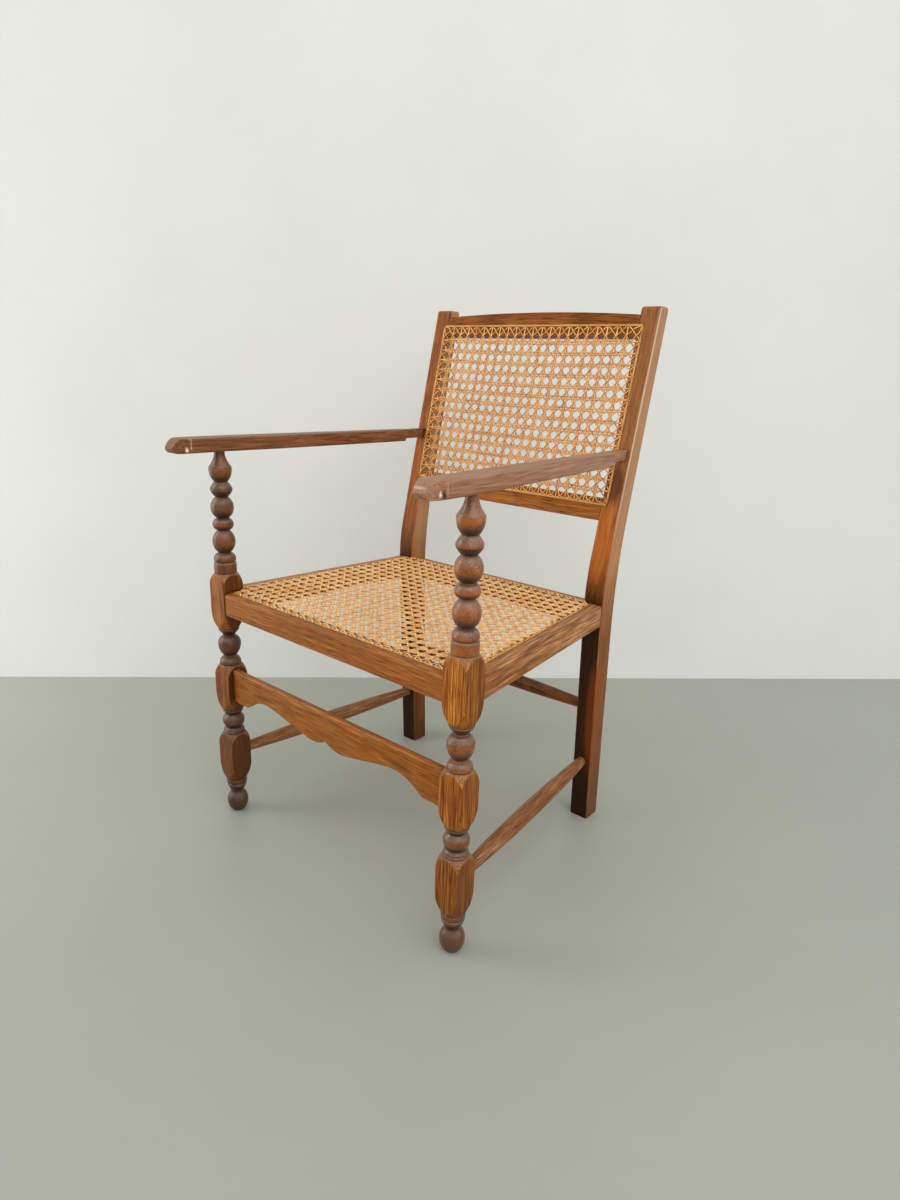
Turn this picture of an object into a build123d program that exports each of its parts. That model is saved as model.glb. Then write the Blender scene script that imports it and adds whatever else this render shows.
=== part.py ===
from build123d import *
from math import atan2, cos, degrees, radians, sin, tan
import os

# Turned oak armchair with a woven cane seat and a woven cane back.
# Millimetres, +Z up, the front of the chair faces -Y.
# Left and right are the sitter's, so the left side is at +X.
# Depths are measured back from the axis of the front posts. The finished pieces are moved together
# at the end, so that the origin is on the floor under the middle of the chair.

# Overall stance
front_post_spacing = 500.0
back_post_spacing = 421.0
back_foot_depth = 402.0
bend_depth = 378.8
bend_height = 436.7
back_rake = 12.58
chair_height = 868.0

# Turned front posts
post_size = 38.0
post_arris = 1.6
post_top = 631.5
foot_height = 64.0
lower_block_top = 153.0
middle_block_bottom = 197.5
middle_block_top = 279.5
upper_block_bottom = 343.5
upper_block_top = 437.0
shoulder_height = 20.0
bell_height = 31.0
post_tenon_radius = 7.0
post_tenon_length = 13.0

# Back posts, sawn to a bend
back_post_width = 34.0
back_post_foot = 36.0
back_post_waist = 39.0
back_post_head = 25.5
rear_bend_height = 453.0
front_bend_radius = 300.0
rear_bend_radius = 850.0
back_post_arris = 1.8
back_post_crown = 4.5

# Seat rails
rail_height = 36.0
rail_top = 407.0
front_rail_thickness = 26.0
front_rail_setback = 2.0
side_rail_thickness = 28.0
side_rail_setback = 4.0
side_rail_rear_setback = 1.0
back_rail_thickness = 26.0
back_rail_depth = 376.0
rail_round = 4.0
rail_arris = 1.5

# Joints
tenon_thickness = 10.0
tenon_length = 14.0
tenon_shoulder = 6.0
joint_clearance = 0.15
tenon_end_clearance = 1.0

# Stretchers
front_stretcher_thickness = 11.0
front_stretcher_setback = 10.0
front_stretcher_drop = 6.5
front_stretcher_height = 55.5
front_stretcher_arris = 1.2
spindle_middle_radius = 13.0
spindle_end_radius = 8.3
spindle_tenon_radius = 7.0
side_stretcher_height = 113.6
back_stretcher_height = 214.0

# Back rails, measured up the slope of the back. The crest rail hangs from the top of the posts,
# the lower rail is measured from the floor.
crest_drop = 12.0
crest_height = 33.0
crest_rise = 6.0
crest_hole_inset = 16.3
lower_rail_bottom = 553.5
lower_rail_height = 36.5
back_board_thickness = 20.0
back_board_arris = 1.5

# Arms
arm_thickness = 21.5
arm_width = 36.0
arm_rear_width = 20.5
arm_inset = 3.0
arm_front_reach = 86.5
arm_taper_start = 100.0
arm_full_end = 374.0
arm_toe_in = 36.0
arm_nose_length = 26.0
arm_nose_drop = 14.0
arm_nose_under = 11.0
arm_nose_facet = 9.0
arm_round = 3.5
arm_tongue_width = 12.0
arm_tongue_height = 16.0

# Cane
cane_thickness = 1.8
cane_hole_radius = 2.7
cane_margin = 2.6
binder_width = 4.6
binder_thickness = 0.9
peg_radius = 2.5
peg_length = 14.0

# Cane of the back. As many rows as fit near this spacing lie evenly between its two rails.
back_cane_pitch_x = 17.8
back_cane_strands = 21
back_cane_row_spacing = 18.0
back_cane_side_share = 1.38
back_cane_head_share = 1.42
back_cane_foot_share = 1.22
back_gap = 11.0

# Cane of the seat, spacings across and back
seat_cane_pitch_x = 17.7
seat_cane_pitch_y = 17.15
seat_cane_strands = 26
seat_cane_rows = 21
seat_first_row = 23.0
front_hole_inset = 13.0
side_hole_inset = 19.0
back_hole_inset = 15.0
seat_gap_columns = 17
seat_gap_rows = 17
seat_gap_share = 0.62
seat_clearance = 0.4

# Shares of the front post: radii against half its size, heights against each turned stretch.
# "to" is a straight line to a point, "arc" passes one point on the way to another.
foot_shares = [
    ("arc", (0.942, 0.32), (0.61, 0.56)),
    ("arc", (0.60, 0.59), (0.635, 0.63)),
    ("to", (0.73, 0.705)),
    ("arc", (0.83, 0.765), (0.872, 0.83)),
    ("to", (0.85, 0.85)),
    ("to", (0.88, 0.87)),
    ("to", (0.905, 1.0)),
]
lower_shares = [
    ("to", (0.915, 0.07)),
    ("arc", (0.85, 0.17), (0.66, 0.235)),
    ("arc", (0.96, 0.50), (0.65, 0.765)),
    ("arc", (0.78, 0.85), (0.885, 0.93)),
    ("to", (0.90, 1.0)),
]
middle_shares = [
    ("to", (0.91, 0.06)),
    ("arc", (0.84, 0.13), (0.58, 0.205)),
    ("to", (0.575, 0.255)),
    ("arc", (0.853, 0.383), (0.965, 0.54)),
    ("arc", (0.88, 0.68), (0.51, 0.78)),
    ("to", (0.50, 0.81)),
    ("arc", (0.74, 0.90), (0.865, 0.945)),
    ("to", (0.89, 1.0)),
]
upper_shares = [
    ("arc", (0.93, 0.04), (0.925, 0.085)),
    ("to", (0.85, 0.093)),
    ("to", (0.875, 0.103)),
    ("arc", (0.875, 0.138), (0.53, 0.169)),
    ("to", (0.53, 0.174)),
    ("arc", (0.94, 0.262), (0.535, 0.355)),
    ("to", (0.535, 0.361)),
    ("arc", (0.865, 0.41), (0.515, 0.456)),
    ("to", (0.515, 0.461)),
    ("arc", (0.94, 0.545), (0.515, 0.631)),
    ("arc", (0.755, 0.658), (0.895, 0.683)),
    ("to", (0.895, 0.70)),
    ("arc", (0.76, 0.726), (0.54, 0.7525)),
    ("arc", (0.905, 0.8267), (0.905, 0.8725)),
    ("arc", (0.61, 0.916), (0.44, 0.96)),
    ("to", (0.405, 1.0)),
]
foot_ring_share = 0.53
lower_ring_share = 0.915
middle_ring_share = 0.91
upper_ring_share = 0.92
bell_shares = (1.226, 0.42)
shoulder_shares = (1.22, 0.585)
block_reach_share = 1.45

# Shares of the front stretcher's lower edge: places out from the middle against its half length,
# depths against its height, from the cusp in the middle out to the post.
stretcher_lobe_shares = [
    (0.0, 0.81), (0.05, 0.92), (0.14, 0.975), (0.26, 0.90), (0.43, 0.74), (0.625, 0.613),
]
stretcher_arch_shares = [(0.625, 0.613), (0.737, 0.725), (0.825, 0.96)]
stretcher_end_share = 0.845

# Places that the pieces share
half = 0.5
post_x = front_post_spacing * half
post_half = post_size * half
back_x = back_post_spacing * half
back_half = back_post_width * half
back_inner = back_x - back_half
back_outer = back_x + back_half
rake = radians(back_rake)
rail_bottom = rail_top - rail_height
arm_underside = post_top
arm_top = arm_underside + arm_thickness
foot_lean = (back_foot_depth - bend_depth) / bend_height
back_start = bend_depth - bend_height * tan(rake)
overrun = post_size

# The back lies in one sloping plane: X across, Y up the slope, Z out of its face to the front.
back_plane = Plane(origin=(0, back_start, 0), x_dir=(1, 0, 0), z_dir=(0, -cos(rake), sin(rake)))


def front_face_depth(height):
    """Depth of the back posts' front face at a height."""
    if height < bend_height:
        return back_foot_depth - foot_lean * height
    return back_start + height * tan(rake)


def mirrored(shape):
    """The same piece for the right side."""
    return mirror(shape, about=Plane.YZ)


def block(low, high):
    """Box between two corners."""
    size = [b - a for a, b in zip(low, high)]
    return Pos(*low) * Box(*size, align=(Align.MIN, Align.MIN, Align.MIN))


def rod(start, end, radius):
    """Round bar between two points."""
    axis = Vector(*end) - Vector(*start)
    return extrude(Plane(origin=start, z_dir=axis) * Circle(radius), amount=axis.length)


def spindle(start, end, rooms):
    """Stretcher turned with a long swell, cut to the faces of its posts, with a round tenon at each end."""
    axis = Vector(*end) - Vector(*start)
    length = axis.length
    spare = spindle_end_radius
    points = [(spindle_end_radius, 0), (spindle_middle_radius, length * half), (spindle_end_radius, length)]
    outline = [
        Line((0, -spare), (spindle_end_radius, -spare)),
        Line((spindle_end_radius, -spare), points[0]),
        ThreePointArc(*points),
        Line(points[2], (spindle_end_radius, length + spare)),
        Line((spindle_end_radius, length + spare), (0, length + spare)),
        Line((0, length + spare), (0, -spare)),
    ]
    turned = revolve(Plane.XZ * make_face(Wire(outline)), Axis.Z)
    body = Plane(origin=start, z_dir=axis) * turned
    for room in rooms:
        body -= room
    reach = axis.normalized() * tenon_length
    pin = rod(tuple(Vector(*start) - reach), tuple(Vector(*end) + reach), spindle_tenon_radius)
    return body + pin


def spindle_socket(start, end):
    """Round mortises for both ends of a spindle."""
    axis = (Vector(*end) - Vector(*start)).normalized()
    reach = axis * (tenon_length + tenon_end_clearance)
    radius = spindle_tenon_radius + joint_clearance
    mouth = axis * radius
    low = rod(tuple(Vector(*start) - reach), tuple(Vector(*start) + mouth), radius)
    high = rod(tuple(Vector(*end) - mouth), tuple(Vector(*end) + reach), radius)
    return low + high


# Where each spindle runs between its shoulders
side_back_depth = front_face_depth(side_stretcher_height)
side_spindle_ends = (
    (post_x, post_half, side_stretcher_height),
    (back_x, side_back_depth, side_stretcher_height),
)
back_spindle_depth = front_face_depth(back_stretcher_height) + back_post_waist * half
back_spindle_ends = (
    (-back_inner, back_spindle_depth, back_stretcher_height),
    (back_inner, back_spindle_depth, back_stretcher_height),
)

# Where the seat rails lie: the side rails run straight from the front posts to the back posts.
front_rail_face = -post_half + front_rail_setback
front_rail_inner = front_rail_face + front_rail_thickness
post_inner = post_x - post_half
rail_front_outer = post_x + post_half - side_rail_setback
rail_back_outer = back_outer - side_rail_rear_setback
rail_back_end = front_face_depth(rail_top - rail_height * half)
rail_angle = degrees(atan2(rail_front_outer - rail_back_outer, rail_back_end - post_half))
rail_turn = cos(radians(rail_angle))
back_rail_rear = back_rail_depth + back_rail_thickness


def rail_outer_x(depth):
    """Outer face of the side rail at a depth."""
    return rail_front_outer - tan(radians(rail_angle)) * (depth - post_half)


# Low and high corners of the tenons on the left: front rail, back rail, front stretcher
tenon_bottom = rail_bottom + tenon_shoulder
tenon_top = rail_top - tenon_shoulder
front_tenon_middle = front_rail_face + front_rail_thickness * half
front_tenon_low = (post_inner, front_tenon_middle - tenon_thickness * half, tenon_bottom)
front_tenon_high = (post_inner + tenon_length, front_tenon_middle + tenon_thickness * half, tenon_top)
back_tenon_middle = back_rail_depth + back_rail_thickness * half
back_tenon_low = (back_inner, back_tenon_middle - tenon_thickness * half, tenon_bottom)
back_tenon_high = (back_inner + tenon_length, back_tenon_middle + tenon_thickness * half, tenon_top)
stretcher_face = -post_half + front_stretcher_setback
stretcher_middle = stretcher_face + front_stretcher_thickness * half
stretcher_top = middle_block_top - front_stretcher_drop
stretcher_bottom = stretcher_top - front_stretcher_height
stretcher_tenon_low = (
    post_inner,
    stretcher_middle - tenon_thickness * half,
    stretcher_bottom + tenon_shoulder,
)
stretcher_tenon_high = (
    post_inner + tenon_length,
    stretcher_middle + tenon_thickness * half,
    stretcher_top - tenon_shoulder,
)

# The side rail's tenons lie to the outside, clear of the other rails' tenons in the same post.
side_tenon_middle = rail_front_outer - tenon_shoulder - tenon_thickness * half
side_front_tenon = (
    (side_tenon_middle - tenon_thickness * half, post_half - tenon_length, tenon_bottom),
    (side_tenon_middle + tenon_thickness * half, post_half, tenon_top),
)
side_back_middle = back_outer - tenon_shoulder - tenon_thickness * half
side_back_tenon = (
    (side_back_middle - tenon_thickness * half, rail_back_end - rail_arris, tenon_bottom),
    (side_back_middle + tenon_thickness * half, rail_back_end + tenon_length, tenon_top),
)


def front_post_room():
    """Room that the front posts take behind their back face."""
    return block((-post_x * 2, -post_x, 0), (post_x * 2, post_half, chair_height))


def back_post_room():
    """Room behind the straight front face of the back posts, below their bend."""
    slope = degrees(atan2(back_foot_depth - bend_depth, bend_height))
    room = block((-post_x * 2, 0, -post_x), (post_x * 2, post_x, post_x * 2))
    return Pos(0, back_foot_depth, 0) * Rot(slope, 0, 0) * room


def widened(low, high):
    """Mortise for a tenon: clear all round and a little deeper."""
    grow = joint_clearance
    start = [a - grow for a in low]
    return block(start, (high[0] + tenon_end_clearance, high[1] + grow, high[2] + grow))


def outline_edges(start, base, length, shares):
    """Edges of one turned stretch, and the point where it ends."""
    edges = []
    for step in shares:
        points = [(post_half * r, base + length * z) for r, z in step[1:]]
        if step[0] == "to":
            edges.append(Line(start, points[0]))
        else:
            edges.append(ThreePointArc(start, points[0], points[1]))
        start = points[-1]
    return edges, start


def block_edges(start, low, high, end_radius):
    """Edges of a square block: the turned bell below, the body, the turned shoulder above."""
    reach = post_half * block_reach_share
    bell_top = (reach, low + bell_height)
    shoulder_low = (reach, high - shoulder_height)
    end = (end_radius, high)
    edges = [
        ThreePointArc(start, (post_half * bell_shares[0], low + bell_height * bell_shares[1]), bell_top),
        Line(bell_top, shoulder_low),
        ThreePointArc(
            shoulder_low,
            (post_half * shoulder_shares[0], high - shoulder_height * (1 - shoulder_shares[1])),
            end,
        ),
    ]
    return edges, end


def front_post():
    """Front post: beads, coves and three square blocks turned from one length, with a pin for the arm."""
    edges = []
    start = (post_half * foot_ring_share, 0)
    edges.append(Line((0, 0), start))
    stretches = [
        (0, foot_height, foot_shares, lower_block_top, lower_ring_share),
        (lower_block_top, middle_block_bottom, lower_shares, middle_block_top, middle_ring_share),
        (middle_block_top, upper_block_bottom, middle_shares, upper_block_top, upper_ring_share),
    ]
    for base, top, shares, block_top, ring in stretches:
        turned, start = outline_edges(start, base, top - base, shares)
        square, end = block_edges(start, top, block_top, post_half * ring)
        edges += turned + square
        start = end
    turned, start = outline_edges(start, upper_block_top, post_top - upper_block_top, upper_shares)
    edges += turned
    tenon_top_z = post_top + post_tenon_length
    edges += [
        Line(start, (post_tenon_radius, post_top)),
        Line((post_tenon_radius, post_top), (post_tenon_radius, tenon_top_z)),
        Line((post_tenon_radius, tenon_top_z), (0, tenon_top_z)),
        Line((0, tenon_top_z), (0, 0)),
    ]
    turned = revolve(Plane.XZ * make_face(Wire(edges)), Axis.Z)
    column = extrude(RectangleRounded(post_size, post_size, post_arris), amount=tenon_top_z)
    post = Pos(post_x, 0, 0) * (turned & column)
    post -= widened(front_tenon_low, front_tenon_high)
    post -= widened(stretcher_tenon_low, stretcher_tenon_high)
    low, high = side_front_tenon
    post -= block(
        (low[0] - joint_clearance, low[1] - tenon_end_clearance, low[2] - joint_clearance),
        (high[0] + joint_clearance, high[1] + joint_clearance, high[2] + joint_clearance),
    )
    return post - spindle_socket(*side_spindle_ends)


def back_post_body():
    """Back post before its mortises: a board sawn straight below the seat and raked above it."""
    top_front = front_face_depth(chair_height)
    outline = FilletPolyline(
        (back_foot_depth, 0),
        (bend_depth, bend_height),
        (top_front, chair_height),
        (top_front + back_post_head, chair_height),
        (bend_depth + back_post_waist, rear_bend_height),
        (back_foot_depth + back_post_foot, 0),
        radius=[front_bend_radius, back_post_crown, back_post_crown, rear_bend_radius],
    )
    sole = Line(outline @ 1, outline @ 0)
    post = extrude(Plane.YZ * make_face(Wire(outline.edges() + sole.edges())), amount=back_post_width)
    long_edges = [
        e for e in post.edges()
        if e.bounding_box().size.X < joint_clearance and e.bounding_box().max.Z > joint_clearance
    ]
    post = Pos(back_inner, 0, 0) * chamfer(long_edges, back_post_arris)
    front_view = FilletPolyline(
        (back_inner, 0),
        (back_inner, chair_height),
        (back_outer, chair_height),
        (back_outer, 0),
        radius=back_post_crown,
    )
    base = Line(front_view @ 1, front_view @ 0)
    face = Plane.XZ * make_face(Wire(front_view.edges() + base.edges()))
    return post & extrude(face, amount=-front_post_spacing * 2)


def back_post():
    """Back post with its mortises and the row of holes for the cane."""
    post = back_post_body()
    post -= widened(back_tenon_low, back_tenon_high)
    low, high = side_back_tenon
    post -= block(
        (low[0] - joint_clearance, low[1] - overrun, low[2] - joint_clearance),
        (high[0] + joint_clearance, high[1] + tenon_end_clearance, high[2] + joint_clearance),
    )
    post -= spindle_socket(*side_spindle_ends)
    post -= spindle_socket(*back_spindle_ends)
    for low, high in (crest_tenon, lower_rail_tenon):
        post -= back_plane * widened(low, high)
    low, high = arm_tenon
    post -= block(
        [a - joint_clearance for a in low],
        (high[0] + joint_clearance, high[1] + tenon_end_clearance, high[2] + joint_clearance),
    )
    for height in back_row_heights:
        post -= back_plane * Pos(back_hole_x, height, 0) * Cylinder(cane_hole_radius, overrun * 2)
    return post


def front_seat_rail():
    """Front seat rail with a tenon at each end and a row of cane holes."""
    rail = block((-post_inner, front_rail_face, rail_bottom), (post_inner, front_rail_inner, rail_top))
    top_front = rail.edges().filter_by(Axis.X).sort_by(Axis.Z)[-2:].sort_by(Axis.Y)[0]
    rail = fillet(top_front, rail_round)
    bottom_edges = rail.edges().filter_by(Axis.X).sort_by(Axis.Z)[:2]
    rail = fillet(bottom_edges, rail_arris)
    side = block(front_tenon_low, front_tenon_high)
    rail += side + mirrored(side)
    for x in front_hole_places:
        rail -= Pos(x, front_hole_depth, rail_bottom) * Cylinder(cane_hole_radius, rail_height * 3)
    return rail


def back_seat_rail():
    """Back seat rail between the back posts."""
    rail = block((-back_inner, back_rail_depth, rail_bottom), (back_inner, back_rail_rear, rail_top))
    top_rear = rail.edges().filter_by(Axis.X).sort_by(Axis.Z)[-2:].sort_by(Axis.Y)[-1]
    rail = fillet(top_rear, rail_round)
    bottom_edges = rail.edges().filter_by(Axis.X).sort_by(Axis.Z)[:2]
    rail = fillet(bottom_edges, rail_arris)
    side = block(back_tenon_low, back_tenon_high)
    rail += side + mirrored(side)
    for x in back_hole_places:
        rail -= Pos(x, back_hole_depth, rail_bottom) * Cylinder(cane_hole_radius, rail_height * 3)
    return rail


def side_seat_rail():
    """Side seat rail: runs inwards to the back and is cut to the face of each post."""
    length = (rail_back_end - post_half) / rail_turn
    turn = Pos(rail_front_outer, post_half, 0) * Rot(0, 0, rail_angle)
    rail = block((-side_rail_thickness, -overrun, rail_bottom), (0, length + overrun, rail_top))
    top_outer = rail.edges().filter_by(Axis.Y).sort_by(Axis.Z)[-2:].sort_by(Axis.X)[-1]
    rail = fillet(top_outer, rail_round)
    bottom_edges = rail.edges().filter_by(Axis.Y).sort_by(Axis.Z)[:2]
    rail = fillet(bottom_edges, rail_arris)
    rail = turn * rail
    rail = rail - front_post_room() - back_post_room()
    for low, high in (side_front_tenon, side_back_tenon):
        rail += block(low, high)
    for depth in side_hole_depths:
        rail -= Pos(side_hole_x(depth), depth, rail_bottom) * Cylinder(cane_hole_radius, rail_height * 3)
    return rail


def front_stretcher():
    """Front stretcher: a board with a double lobed lower edge, cut to a cusp in the middle."""
    def place(share):
        return share[0] * post_inner, stretcher_top - front_stretcher_height * share[1]

    lobe = Spline(*[place(s) for s in stretcher_lobe_shares])
    arch = ThreePointArc(*[place(s) for s in stretcher_arch_shares])
    end = place((stretcher_end_share, 1.0))
    right = [
        lobe,
        arch,
        Line(place(stretcher_arch_shares[-1]), end),
        Line(end, (post_inner, stretcher_bottom)),
        Line((post_inner, stretcher_bottom), (post_inner, stretcher_top)),
    ]
    left = [mirror(edge, about=Plane.YZ) for edge in right]
    top = Line((-post_inner, stretcher_top), (post_inner, stretcher_top))
    face = make_face(Wire([e for part in right + left + [top] for e in part.edges()]))
    board = Plane.XZ.offset(-stretcher_face) * face
    board = extrude(board, amount=-front_stretcher_thickness)
    long_edges = board.edges().filter_by(Axis.X).sort_by(Axis.Z)[-2:]
    board = chamfer(long_edges, front_stretcher_arris)
    side = block(stretcher_tenon_low, stretcher_tenon_high)
    return board + side + mirrored(side)


# Back boards: their tenons go into the inner faces of the back posts.
def board_tenon(low, high):
    """Corners of a tenon on the left end of a board in the plane of the back."""
    inset = (back_board_thickness - tenon_thickness) * half
    return (
        (back_inner, low + tenon_shoulder, -back_board_thickness + inset),
        (back_inner + tenon_length, high - tenon_shoulder, -inset),
    )


crest_shoulder = (chair_height - crest_drop) / cos(rake)
crest_bottom = crest_shoulder - crest_height
crest_tenon = board_tenon(crest_bottom, crest_shoulder)
lower_rail_top = lower_rail_bottom + lower_rail_height
lower_rail_tenon = board_tenon(lower_rail_bottom, lower_rail_top)


def crest_rail():
    """Crest rail: the top board of the back, with a low arch along its upper edge."""
    low = (-back_inner, crest_bottom)
    high = (back_inner, crest_bottom)
    ends = (back_inner, crest_shoulder), (-back_inner, crest_shoulder)
    outline = [
        Line(low, high),
        Line(high, ends[0]),
        ThreePointArc(ends[0], (0, crest_shoulder + crest_rise), ends[1]),
        Line(ends[1], low),
    ]
    board = extrude(back_plane * make_face(Wire(outline)), amount=-back_board_thickness)
    side = block(*crest_tenon)
    board += back_plane * (side + mirrored(side))
    for x in back_strand_places:
        board -= back_plane * Pos(x, back_top_hole, 0) * Cylinder(cane_hole_radius, overrun * 2)
    return board


def lower_back_rail():
    """Lower back rail: a straight board under the cane of the back."""
    low = (-back_inner, lower_rail_bottom, -back_board_thickness)
    board = block(low, (back_inner, lower_rail_top, 0))
    board = chamfer(board.edges().filter_by(Axis.X), back_board_arris)
    side = block(*lower_rail_tenon)
    board = back_plane * (board + side + mirrored(side))
    for x in back_strand_places:
        board -= back_plane * Pos(x, back_bottom_hole, 0) * Cylinder(cane_hole_radius, overrun * 2)
    return board


# Arms: their centre is over the front post, and they run inwards to the back posts.
arm_outer = post_x + arm_width * half - arm_inset
arm_inner = arm_outer - arm_width
arm_taper_x = arm_inner - arm_toe_in * arm_taper_start / arm_full_end
arm_end_outer = arm_outer - arm_toe_in
arm_end_inner = arm_end_outer - arm_rear_width
tongue_low = arm_top - arm_tongue_height
tongue_face = front_face_depth(tongue_low)
arm_tenon = (
    (arm_end_inner, arm_full_end - arm_round, tongue_low),
    (arm_end_inner + arm_tongue_width, tongue_face + tenon_length, arm_top),
)


def arm():
    """Arm: a tapered bar with a rounded nose, bored for the post, its rear end cut to a tongue."""
    nose_start = -arm_front_reach + arm_nose_length
    front = -arm_front_reach
    outline = [
        (arm_outer, nose_start),
        (arm_outer, 0),
        (arm_end_outer, arm_full_end),
        (arm_end_inner, arm_full_end),
        (arm_taper_x, arm_taper_start),
        (arm_inner, 0),
        (arm_inner, nose_start),
        (arm_inner + arm_nose_facet, front),
        (arm_outer - arm_nose_facet, front),
    ]
    bar = extrude(make_face(Polyline(*outline, close=True)), amount=arm_thickness)
    bar = Pos(0, 0, arm_underside) * bar
    along = [
        e for e in bar.edges()
        if e.length > post_size and e.bounding_box().size.Z < joint_clearance
        and e.bounding_box().size.Y > post_size
    ]
    bar = fillet(along, arm_round)
    tip = (front, arm_top - arm_nose_drop)
    under = (front + arm_nose_under, arm_underside)
    lean = 1 - sin(radians(45))
    top_mid = (front + arm_nose_length * lean, arm_top - arm_nose_drop * lean)
    under_rise = tip[1] - arm_underside
    under_mid = (front + arm_nose_under * lean, arm_underside + under_rise * lean)
    profile = [
        ThreePointArc((nose_start, arm_top), top_mid, tip),
        ThreePointArc(tip, under_mid, under),
        Line(under, (arm_full_end, arm_underside)),
        Line((arm_full_end, arm_underside), (arm_full_end, arm_top)),
        Line((arm_full_end, arm_top), (nose_start, arm_top)),
    ]
    side = extrude(Plane.YZ * make_face(Wire(profile)), amount=front_post_spacing)
    bar = bar & side
    tongue = block(*arm_tenon)
    mortise = Pos(post_x, 0, arm_underside) * Cylinder(
        post_tenon_radius + joint_clearance,
        post_tenon_length + tenon_end_clearance + post_top - arm_underside,
        align=(Align.CENTER, Align.CENTER, Align.MIN),
    )
    return bar + tongue - mortise


# Places of the cane holes
front_hole_depth = front_rail_face + front_hole_inset
back_hole_depth = back_rail_rear - back_hole_inset
seat_middle = (seat_cane_strands - 1) * half
front_hole_places = [(i - seat_middle) * seat_cane_pitch_x for i in range(seat_cane_strands)]
back_hole_places = [x for x in front_hole_places if abs(x) < back_inner - cane_hole_radius]
side_hole_depths = [seat_first_row + i * seat_cane_pitch_y for i in range(seat_cane_rows)]
back_middle = (back_cane_strands - 1) * half
back_strand_places = [(i - back_middle) * back_cane_pitch_x for i in range(back_cane_strands)]
back_hole_x = back_strand_places[-1] + back_cane_pitch_x * back_cane_side_share
back_bottom_hole = lower_rail_top - cane_hole_radius * 4
back_top_hole = crest_shoulder - crest_hole_inset
back_cane_span = back_top_hole - back_bottom_hole
back_cane_end_shares = back_cane_foot_share + back_cane_head_share
back_cane_rows = round(back_cane_span / back_cane_row_spacing - back_cane_end_shares) + 1
back_cane_pitch_y = back_cane_span / (back_cane_rows - 1 + back_cane_end_shares)
back_first_row = back_bottom_hole + back_cane_pitch_y * back_cane_foot_share
back_row_heights = [back_first_row + i * back_cane_pitch_y for i in range(back_cane_rows)]


def side_hole_x(depth):
    """Line of holes along the side rail."""
    return rail_outer_x(depth) - side_hole_inset / rail_turn


def octagon(x, y, width, height):
    """Outline of one gap in the cane: a rectangle with its corners cut."""
    a = width * half
    b = height * half
    cut_x = a * (2 - 2 ** half)
    cut_y = b * (2 - 2 ** half)
    points = [
        (a, cut_y - b), (a, b - cut_y), (a - cut_x, b), (cut_x - a, b),
        (-a, b - cut_y), (-a, cut_y - b), (cut_x - a, -b), (a - cut_x, -b),
    ]
    return Polyline(*[(x + px, y + py) for px, py in points], close=True)


def holed_sheet(outline, gaps):
    """Flat cane: one face with its gaps, given its thickness."""
    border = Wire(Polyline(*outline, close=True).edges())
    face = Face(border, [Wire(gap.edges()) for gap in gaps])
    return extrude(face, amount=cane_thickness)


def seat_cane():
    """Woven seat as one holed sheet that lies on the four rails and stops short of the posts."""
    clear = seat_clearance
    front = front_hole_depth - cane_margin
    rear = back_hole_depth + cane_margin
    block_rear = post_half + clear
    post_front = front_face_depth(rail_top + cane_thickness) - clear
    side = cane_margin / rail_turn
    outline = [
        (post_inner - clear, front),
        (post_inner - clear, block_rear),
        (side_hole_x(block_rear) + side, block_rear),
        (side_hole_x(post_front) + side, post_front),
        (back_inner - clear, post_front),
        (back_inner - clear, rear),
    ]
    outline += [(-x, y) for x, y in reversed(outline)]
    low = block_rear + cane_margin
    high = back_rail_depth
    pitch_y = (high - low) / seat_gap_rows
    gaps = []
    for row in range(seat_gap_rows):
        y = low + pitch_y * (row + half)
        open_half = rail_outer_x(y) - side_rail_thickness / rail_turn
        pitch_x = 2 * open_half / seat_gap_columns
        for column in range(seat_gap_columns):
            x = -open_half + pitch_x * (column + half)
            gaps.append(octagon(x, y, pitch_x * seat_gap_share, pitch_y * seat_gap_share))
    return Pos(0, 0, rail_top) * holed_sheet(outline, gaps)


def back_cane():
    """Woven back as one holed sheet that lies on the posts and the two rails."""
    reach = back_hole_x + cane_margin
    low = back_bottom_hole - cane_margin
    high = back_top_hole + cane_margin
    outline = [(-reach, low), (reach, low), (reach, high), (-reach, high)]
    gaps = []
    for row in range(back_cane_rows):
        y = back_row_heights[row] - back_cane_pitch_y * half
        for column in range(back_cane_strands - 1):
            x = back_strand_places[column] + back_cane_pitch_x * half
            gaps.append(octagon(x, y, back_gap, back_gap))
    return back_plane * holed_sheet(outline, gaps)


def strip(start, end, base):
    """Flat strip of binder cane between two points, lying at a height."""
    run = Vector(*end) - Vector(*start)
    angle = degrees(atan2(run.Y, run.X))
    flat = block((0, -binder_width * half, 0), (run.length, binder_width * half, binder_thickness))
    return Pos(start[0], start[1], base) * Rot(0, 0, angle) * flat


def seat_binder():
    """Binder cane along the four lines of holes of the seat."""
    base = rail_top + cane_thickness
    end = post_inner - seat_clearance
    rear_end = back_inner - seat_clearance
    first = post_half + binder_width * half
    last = front_face_depth(base) - binder_width * half
    side = strip((side_hole_x(first), first), (side_hole_x(last), last), base)
    front = strip((-end, front_hole_depth), (end, front_hole_depth), base)
    rear = strip((-rear_end, back_hole_depth), (rear_end, back_hole_depth), base)
    return Compound([front, rear, side, mirrored(side)])


def back_binder():
    """Binder cane round the four lines of holes of the back, the side strips between the others."""
    x = back_hole_x
    inner = binder_width * half
    low = (back_bottom_hole, back_top_hole)
    across = [strip((-x - inner, y), (x + inner, y), cane_thickness) for y in low]
    sides = [
        strip((s * x, back_bottom_hole + inner), (s * x, back_top_hole - inner), cane_thickness)
        for s in (-1, 1)
    ]
    return Compound([back_plane * piece for piece in across + sides])


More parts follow.
